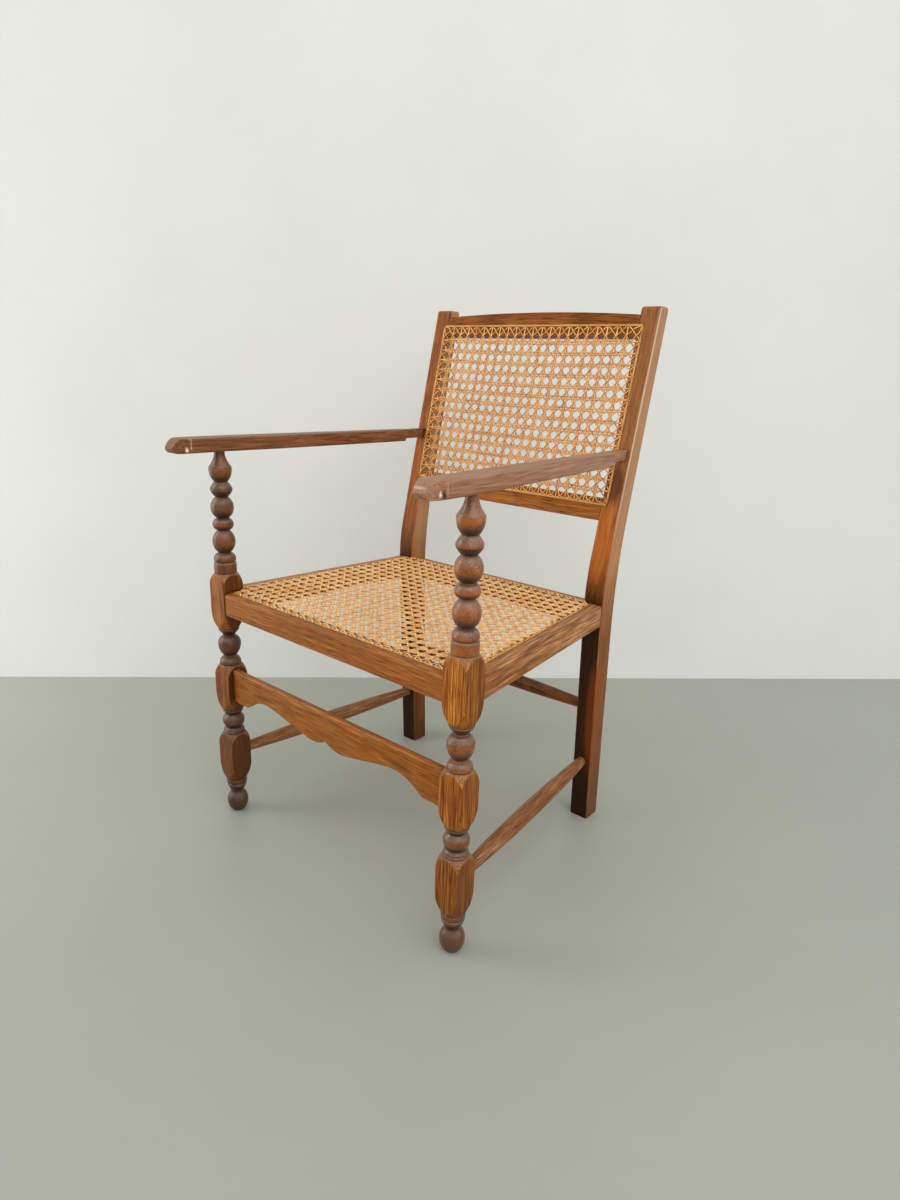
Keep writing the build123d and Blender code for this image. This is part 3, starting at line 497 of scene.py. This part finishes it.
def eased_copy(name, radius):
    """A copy of a solid with every arris rounded, in millimetres."""
    shape = bmesh.new()
    shape.from_mesh(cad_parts[name].data)
    bmesh.ops.transform(shape, verts=shape.verts, matrix=Matrix.Scale(1 / MM, 4))
    bmesh.ops.remove_doubles(shape, verts=shape.verts, dist=weld_distance)
    bmesh.ops.dissolve_limit(shape, angle_limit=radians(flat_angle), verts=shape.verts, edges=shape.edges)
    sharp = [e for e in shape.edges if e.is_manifold and e.calc_face_angle() > radians(ease_angle)]
    bmesh.ops.bevel(shape, geom=sharp, offset=radius, offset_type="OFFSET", affect="EDGES", segments=3,
                    profile=0.5, material=-1, clamp_overlap=True)
    return shape


painted_shade_oak = oak("shaded_oak", cross_grain, "#2e1808", "#4d2c12", "#6e441f", 0.3, 0.15)
dress(["side_stretcher_left", "side_stretcher_right"], side_oak)
dress(["back_stretcher"], painted_shade_oak)
finish_piece(eased_copy("front_stretcher", stretcher_ease), "worn_front_stretcher", rail_oak,
             ["front_stretcher"], crease=eased_crease)

# The arms are tapered oak bars. Each sits on the pin of a front post and ends in a tongue that is tenoned
# into the back post. Hands have worn the arrises round and the wax away, down to pale bare wood in places,
# and the nose of each arm is chipped.
arm_ease = 2.2
arm_slant = 0.096

left_arm_oak = oak("hand_worn_oak_left", fore_and_aft_grain, "#83573f", "#9a6c4f", "#ae8264", 0.5, 0.25,
                   0.2, pores=0.3, slant=arm_slant)
right_arm_oak = oak("hand_worn_oak_right", fore_and_aft_grain, "#532f1a", "#75472b", "#8f603b", 0.5, 0.2,
                    0.2, pores=0.3, slant=arm_slant)
marked(left_arm_oak, "#d0b096", 0.8, (269, -267, 643), (5.0, 2.0, 15))
marked(left_arm_oak, "#c9a88f", 0.7, (243, -292, 645), (14.0, 5.0, 2.5))
marked(left_arm_oak, "#3a120c", 0.95, (267, -271.5, 637), (6.0, 4.0, 8.0))
marked(left_arm_oak, "#f4e2d2", 1.0, (266.2, -276, 637.5), (6.0, 3.2, 5.5))
marked(right_arm_oak, "#dcc6b0", 0.9, (-233, -266, 643), (5.0, 2.2, 15))
marked(right_arm_oak, "#f0dccb", 1.0, (-234, -272, 637), (6.0, 3.0, 5.0))
for name, arm_oak in (("arm_left", left_arm_oak), ("arm_right", right_arm_oak)):
    finish_piece(eased_copy(name, arm_ease), "worn_" + name, arm_oak, [name], crease=eased_crease)

# The back is framed by two planed oak boards between its posts, a curved crest and a lower rail. The
# crest has darkened, as every hand takes the chair there, and the lower rail has kept its brown.
crest_oak = oak("planed_oak_crest", cross_grain, "#552909", "#7a4212", "#945a20", 0.0, 0.08,
                dirt_and_shade_from_others=False)
lower_rail_oak = oak("planed_oak_across_the_back", cross_grain, "#6c3610", "#95551b", "#b4722f", 0.0, 0.1,
                     dirt_and_shade_from_others=False)
dress(["crest_rail"], crest_oak)
dress(["lower_back_rail"], lower_rail_oak)

# Small oak pegs, whittled by hand and left dry, are driven into the last hole of each row and hold the
# ends of the cane. The binder covers them.
peg_grain = (1, 1, 0.2)

peg_oak = oak("whittled_oak_peg", peg_grain, "#3d1f0a", "#6b3c15", "#8f5a28", 0.0, 0.1)
dress(["back_cane_pegs", "seat_cane_pegs"], peg_oak)

# The back is woven from split cane in seven steps: upright pairs and level pairs that interlace, two sets
# of slanting strands that pass over one pair and under the other, and a flat binder over the holes. Each
# strand is a flat strip with a domed skin. Bends are steps along a strand and heights, in millimetres.
random.seed(7)
back_columns = 21
back_rows = 14
back_pitch_x = 17.8
back_side_share = 1.38
back_head_share = 1.42
back_foot_share = 1.22
back_rake = radians(12.58)
back_margin = 2.6
back_sheet = 1.8
back_dip = 3.0
cane_width = 2.5
cane_thickness = 0.85
cane_section_shares = [(-0.5, -0.25), (-0.28, 0.4), (0.28, 0.4), (0.5, -0.25), (0.0, -0.5)]
slant_width = 2.1
pair_spread = 1.65
pair_crossing_share = 2.6
weave_height = 0.45
slant_height = 0.8
slant_bends = ((-0.17, 0.9), (0, 1), (0.17, 0.9))
net_height = 1.2
hole_radius = 2.7
hole_spread = 0.8
hole_bends = ((0.0, -5.0), (0.5, -1.5), (2.4, 0.5))
stitch_bends = ((0, 4), (0.6, 0.1), (3, -0.5))
hand_wobble = 0.22
binder_width = 4.0
binder_thickness = 0.9
binder_height = 0.55
binder_step = 12.0
binder_wobble = 0.06
tie_width = 2.2
tie_thickness = 0.6
tie_overhang = 1.0
tie_bends = ((-0.4, -3), (-0.52, -0.6), (-0.4, 0.62), (0, 0.82), (0.4, 0.62), (0.52, -0.6), (0.4, -3))
beside_hole = 5.0
beside_line = 6.0
probe_depth = 200.0

# Split rattan cane: a hard, glossy, straw-gold skin with fine fibres along each strand, browner here and
# there along its length, with its flanks and underside painted darker as painted shade, and painted shade
# in the crossings. Its map counts 100 mm as one along a strand and a whole strand as one across it, and
# each strand starts elsewhere.
cane_map_length = 100.0
cane_tone_length = 43.48
cane_fibre_length = 33.333
cane_fibre_stretch = 40
cane_fibre_depth = 0.1
cane_tone_places = (0.3, 0.48, 0.68)
cane_strand_shift = 0.37
cane_face_step = 0.1
cane_crown = 0.15
cane_crown_half = 0.04
cane_shade = "#4a2408"
cane_flank_shade = "#8f4c12"
cane_shade_reach = 3.0
strand_count = 0


def cane(name, pale, golden, dark, edge, depth=0.9, open_until=0.9):
    """Split cane of three tones, with how strongly painted shade darkens its flanks and its crossings."""
    material, tree, output = new_material(name)
    strand = add(tree, "UVMap", {"uv_map": "strand"}).outputs[0]
    along = add(tree, "Mapping", Vector=strand, Scale=(1, cane_fibre_stretch, 1)).outputs[0]
    tone = add(tree, "TexNoise", {"noise_dimensions": "2D"}, Vector=strand,
               Scale=cane_map_length / cane_tone_length, Detail=2)
    fibre = add(tree, "TexNoise", {"noise_dimensions": "2D"}, Vector=along,
                Scale=cane_map_length / cane_fibre_length, Detail=2)
    mixed = add(tree, "MixRGB", _0=0.35, _1=tone.outputs["Fac"], _2=fibre.outputs["Fac"])
    ramp = add(tree, "ValToRGB", _0=mixed.outputs[0])
    ramp.color_ramp.elements.new(cane_tone_places[1])
    for stop, where, colour in zip(ramp.color_ramp.elements, cane_tone_places, (dark, golden, pale)):
        stop.position = where
        stop.color = linear(colour)
    # Painted shade on the flanks and the underside of each strand, away from its crown.
    across = add(tree, "SeparateXYZ", Vector=strand).outputs["Y"]
    turn = add(tree, "Math", {"operation": "FRACT"}, _0=across)
    off_crown = add(tree, "Math", {"operation": "SUBTRACT"}, _0=turn.outputs[0], _1=cane_crown)
    from_crown = add(tree, "Math", {"operation": "ABSOLUTE"}, _0=off_crown.outputs[0])
    flank_shade = add(tree, "MapRange", Value=from_crown.outputs[0], From_Min=cane_crown_half,
                From_Max=cane_crown_half * 2, To_Max=edge)
    skin = add(tree, "MixRGB", _0=flank_shade.outputs[0], _1=ramp.outputs[0], _2=linear(cane_flank_shade))
    # Painted shade in the crossings and between close strands.
    shelter = add(tree, "AmbientOcclusion", {"samples": 4}, Distance=cane_shade_reach * MM)
    shade = add(tree, "MapRange", Value=shelter.outputs["AO"], From_Min=open_until,
                From_Max=open_until - 0.5, To_Max=depth)
    skin = add(tree, "MixRGB", _0=shade.outputs[0], _1=skin.outputs[0], _2=linear(cane_shade))
    relief = add(tree, "Bump", Strength=0.3, Distance=cane_fibre_depth * MM, Height=fibre.outputs["Fac"])
    shader = add(tree, "BsdfPrincipled", Base_Color=skin.outputs[0], Roughness=0.34,
                 Normal=relief.outputs[0], Specular_IOR_Level=0.45)
    tree.links.new(shader.outputs[0], output.inputs[0])
    return material


def lay_strand(net, route, width=cane_width, thickness=cane_thickness):
    """One strand along a route in millimetres: a grid bent round the section, welded, and closed."""
    global strand_count
    strand_count += 1
    strand = bmesh.new()
    layer = strand.loops.layers.uv.new("strand")
    last = len(route) - 1
    sides = len(cane_section_shares)
    bmesh.ops.create_grid(strand, x_segments=last, y_segments=sides, size=1)
    distance = [0.0]
    frames = []
    side = Vector((1, 0, 0))
    for i, point in enumerate(route):
        run = route[min(i + 1, last)] - route[max(i - 1, 0)]
        if i:
            distance.append(distance[-1] + (point - route[i - 1]).length)
        if run.to_2d().length > hole_spread:
            side = Vector((run.y, -run.x, 0)).normalized()
        frames.append((side, side.cross(run).normalized()))
    for vert in strand.verts:
        vert.index = round((vert.co.x + 1) * 0.5 * last) * (sides + 1) + round((vert.co.y + 1) * 0.5 * sides)
    for face in strand.faces:
        for loop in face.loops:
            ring, step = divmod(loop.vert.index, sides + 1)
            loop[layer].uv = (distance[ring] / cane_map_length + strand_count * cane_strand_shift,
                              strand_count + step * cane_face_step)
    for vert in strand.verts:
        ring, step = divmod(vert.index, sides + 1)
        across, out = cane_section_shares[step % sides]
        side, up = frames[ring]
        vert.co = route[ring] + side * across * width + up * out * thickness
    bmesh.ops.remove_doubles(strand, verts=strand.verts, dist=fine_weld_distance)
    bmesh.ops.holes_fill(strand, edges=[e for e in strand.edges if e.is_boundary], sides=sides)
    bmesh.ops.recalc_face_normals(strand, faces=strand.faces)
    mesh = bpy.data.meshes.new("strand")
    strand.to_mesh(mesh)
    strand.free()
    net.from_mesh(mesh)
    bpy.data.meshes.remove(mesh)


def lace(net, points, holes, inside, lean, width):
    """Lay a strand through its points, out of the hole behind the first and into the one beyond the last."""
    points = [Vector(p) for p in points if inside(p[0], p[1]) > hole_radius]
    if len(points) < 2:
        return
    ends = []
    for here, before in ((points[0], points[1]), (points[-1], points[-2])):
        step = (here - before).to_2d().normalized()
        probe = here.to_2d()
        while inside(probe.x, probe.y) > 0:
            probe = probe + step
        hole = min(holes, key=lambda h: (Vector(h) - probe).length)
        back = (here.to_2d() - Vector(hole)).normalized()
        centre = Vector(hole) + Vector((back.y, -back.x)) * lean * hole_spread
        ends.append([Vector((*(centre + back * reach), height)) for reach, height in hole_bends])
        lean = -lean
    for point in points:
        point.x += random.gauss(0, hand_wobble)
        point.y += random.gauss(0, hand_wobble)
        point.z += net_height
    lay_strand(net, ends[0] + points + ends[1][::-1], width)


def lace_pair(net, level, crossings, holes, inside, turned, width=cane_width):
    """Two strands side by side that interlace with the pairs that they cross."""
    far = pair_crossing_share
    for side in (-1, 1):
        swing = side if not turned else -side
        drift = random.gauss(0, hand_wobble)
        points = []
        for crossing in crossings:
            for step, height in ((-far, 0), (-1, swing), (1, -swing), (far, 0)):
                place = (level + side * pair_spread + drift, crossing + step * pair_spread)
                if turned:
                    place = place[::-1]
                points.append((*place, height * weave_height))
        lace(net, points, holes, inside, side if turned else -side, width)


def lace_slants(net, column_places, row_places, holes, inside, width=slant_width):
    """Both sets of slanting strands: over the pairs one way and under them the other."""
    columns = len(column_places)
    rows = len(row_places)
    pitch_x = column_places[1] - column_places[0]
    pitch_y = row_places[1] - row_places[0]
    for mirrored in (False, True):
        for line in range(-columns, rows + 1):
            points = []
            for half in range(-3, 2 * columns + 3):
                a = half * 0.5
                b = a + line + 0.5
                over = 1 if half % 2 == 0 else -1
                over = -over if mirrored else over
                for shift, height in slant_bends:
                    x = column_places[0] + (a + shift) * pitch_x
                    y = row_places[0] + (b + shift) * pitch_y
                    points.append((-x if mirrored else x, y, over * height * slant_height))
            lace(net, points, holes, inside, 0.0, width)


def stitch(net, holes, hidden_height):
    """The loops on the hidden side, from each hole of a line to the next."""
    for first, second in zip(holes, holes[1:]):
        bends = [(first, step, drop) for step, drop in stitch_bends]
        bends += [(second, -step, drop) for step, drop in stitch_bends[::-1]]
        run = (Vector(second) - Vector(first)).normalized()
        for side in (-1, 1):
            across = Vector((run.y, -run.x)) * side * hole_spread
            route = []
            for place, step, drop in bends:
                spot = Vector(place) + run * step + across
                route.append(Vector((*spot, hidden_height(*spot) + drop)))
            lay_strand(net, route)


def bind(net, start, end, ties):
    """A strip of binder along a line of holes, held down by a small loop at each hole."""
    run = Vector(end) - Vector(start)
    steps = max(2, round(run.length / binder_step))
    route = []
    for i in range(steps + 1):
        spot = Vector(start).lerp(Vector(end), i / steps)
        route.append(Vector((*spot, binder_height + random.gauss(0, binder_wobble))))
    lay_strand(net, route, binder_width, binder_thickness)
    run.normalize()
    across = Vector((run.y, -run.x)) * (binder_width + tie_overhang)
    for hole in ties:
        loop = [Vector((*(Vector(hole) + across * out), binder_height + lift)) for out, lift in tie_bends]
        lay_strand(net, loop, tie_width, tie_thickness)


binder_cane = cane("flat_binder_cane", "#e2a458", "#cf9040", "#94581c", 0.3, 0.6)
back_cane = cane("woven_cane_back", "#ffd084", "#f8aa50", "#a05818", 0.8)
low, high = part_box("back_cane")
foot_line = low.z / MM / cos(back_rake) + back_margin
head_line = (high.z / MM - back_sheet * sin(back_rake)) / cos(back_rake) - back_margin
back_pitch_y = (head_line - foot_line) / (back_rows - 1 + back_head_share + back_foot_share)
back_start = high.y / MM - (head_line + back_margin) * sin(back_rake)
back_place = Matrix((
    (1, 0, 0, 0),
    (0, sin(back_rake), -cos(back_rake), back_start * MM),
    (0, cos(back_rake), sin(back_rake), 0),
    (0, 0, 0, 1),
))
columns = [(i - (back_columns - 1) / 2) * back_pitch_x for i in range(back_columns)]
rows = [foot_line + (back_foot_share + i) * back_pitch_y for i in range(back_rows)]
side_line = columns[-1] + back_side_share * back_pitch_x
head_holes = [(x, head_line) for x in columns]
foot_holes = [(x, foot_line) for x in columns]
left_holes = [(side_line, y) for y in rows]
right_holes = [(-side_line, y) for y in rows]
corners = [(sx * side_line, y) for sx in (-1, 1) for y in (foot_line, head_line)]
holes = head_holes + foot_holes + left_holes + right_holes + corners


def inside_back(x, y):
    """Distance in from the lines of holes of the back."""
    return min(side_line - abs(x), y - foot_line, head_line - y)


def hidden_face(name, x, y):
    """Height of the hidden face of a piece of the back, met by a ray from behind."""
    start = back_place @ (Vector((x, y, -probe_depth)) * MM)
    towards = back_place.to_3x3() @ Vector((0, 0, 1))
    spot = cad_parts[name].ray_cast(start, towards)[1]
    return (back_place.inverted() @ spot).z / MM


net = bmesh.new()
for x in columns:
    lace_pair(net, x, rows, holes, inside_back, False)
for y in rows:
    lace_pair(net, y, columns, holes, inside_back, True)
lace_slants(net, columns, rows, holes, inside_back)
for vert in net.verts:
    rise = (vert.co.y - foot_line) / (head_line - foot_line)
    if 0 < rise < 1:
        bow = max(0.0, 1 - (vert.co.x / side_line) ** 2)
        vert.co.y -= back_dip * bow * rise * 4 * rise * (1 - rise) ** 0.5
finish_piece(net, "back_cane_weave", back_cane, ["back_cane"], back_place)

net = bmesh.new()
stitch(net, head_holes, lambda x, y: hidden_face("crest_rail", beside_hole, head_line))
stitch(net, foot_holes, lambda x, y: hidden_face("lower_back_rail", beside_hole, foot_line))
stitch(net, left_holes, lambda x, y: hidden_face("back_post_left", side_line + beside_line, y))
stitch(net, right_holes, lambda x, y: hidden_face("back_post_right", -side_line - beside_line, y))
finish_piece(net, "back_cane_stitches", back_cane, [], back_place)

net = bmesh.new()
bind(net, (-side_line, foot_line), (side_line, foot_line), foot_holes)
bind(net, (-side_line, head_line), (side_line, head_line), head_holes)
for line in (left_holes, right_holes):
    x = line[0][0]
    bind(net, (x, foot_line + binder_width * 0.5), (x, head_line - binder_width * 0.5), line)
finish_piece(net, "back_cane_binder", binder_cane, ["back_binder"], back_place)

# The seat is woven the same way on the four rails, from slightly wider cane. It is wider in front than
# behind, so the outer pairs end along the side rails. Years of use have let it sag, and its cane is
# coloured paler than the back's as painted light falling on it from above.
seat_columns = 26
seat_rows = 21
seat_pitch_x = 17.7
seat_pitch_y = 17.38
seat_first_row = -190.8
seat_first_side_hole = -183.0
seat_front_line = -210.5
seat_back_line = 180.5
seat_side_front = 245.9
seat_side_back = 207.4
seat_side_start = -187.5
seat_side_end = 174.5
seat_rear_reach = 193.5
seat_sag = 5.5
seat_strand_width = 2.9
seat_slant_width = 2.5
front_binder_end = 230.5
rear_binder_end = 193.0
side_binder_start = -186.0
side_binder_end = 173.5

# Paler than the back's cane, as painted light from above on the seat.
seat_cane = cane("woven_cane_seat", "#ffdda0", "#ffbf72", "#cc7c32", 0.25, 0.8, 0.8)
rail_low, rail_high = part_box("front_seat_rail")
rail_height = (rail_high.z - rail_low.z) / MM
seat_place = Matrix.Translation((0, 0, rail_high.z))


def seat_side(y):
    """Line of holes along the side rails."""
    share = (y - seat_side_start) / (seat_side_end - seat_side_start)
    return seat_side_front + (seat_side_back - seat_side_front) * share


def inside_seat(x, y):
    """Distance in from the lines of holes of the seat."""
    return min(seat_side(y) - abs(x), y - seat_front_line, seat_back_line - y)


def sagged(shape):
    """Let a net hang down in its middle."""
    for vert in shape.verts:
        share_x = max(0.0, 1 - (vert.co.x / seat_side(vert.co.y)) ** 2)
        depth = (vert.co.y - seat_front_line) / (seat_back_line - seat_front_line)
        share_y = max(0.0, 4 * depth * (1 - depth))
        vert.co.z -= seat_sag * share_x * share_y
    return shape


columns = [(i - (seat_columns - 1) / 2) * seat_pitch_x for i in range(seat_columns)]
rows = [seat_first_row + i * seat_pitch_y for i in range(seat_rows)]
side_rows = [seat_first_side_hole] + rows[1:]
front_holes = [(x, seat_front_line) for x in columns]
rear_holes = [(x, seat_back_line) for x in columns if abs(x) < seat_rear_reach - hole_radius]
left_holes = [(seat_side(y), y) for y in side_rows]
right_holes = [(-seat_side(y), y) for y in side_rows]
holes = front_holes + rear_holes + left_holes + right_holes

net = bmesh.new()
for x in columns:
    lace_pair(net, x, rows, holes, inside_seat, False, seat_strand_width)
for y in rows:
    lace_pair(net, y, columns, holes, inside_seat, True, seat_strand_width)
finish_piece(sagged(net), "seat_cane_pairs", seat_cane, ["seat_cane"], seat_place)

net = bmesh.new()
lace_slants(net, columns, rows, holes, inside_seat, seat_slant_width)
finish_piece(sagged(net), "seat_cane_slants", seat_cane, [], seat_place)

net = bmesh.new()
for line in (front_holes, rear_holes, left_holes, right_holes):
    stitch(net, line, lambda x, y: -rail_height)
finish_piece(net, "seat_cane_stitches", seat_cane, [], seat_place)

net = bmesh.new()
bind(net, (-front_binder_end, seat_front_line), (front_binder_end, seat_front_line), front_holes)
bind(net, (-rear_binder_end, seat_back_line), (rear_binder_end, seat_back_line), rear_holes)
for side, line in ((1, left_holes), (-1, right_holes)):
    start = (side * seat_side(side_binder_start), side_binder_start)
    end = (side * seat_side(side_binder_end), side_binder_end)
    bind(net, start, end, line)
finish_piece(net, "seat_cane_binder", binder_cane, ["seat_binder"], seat_place)
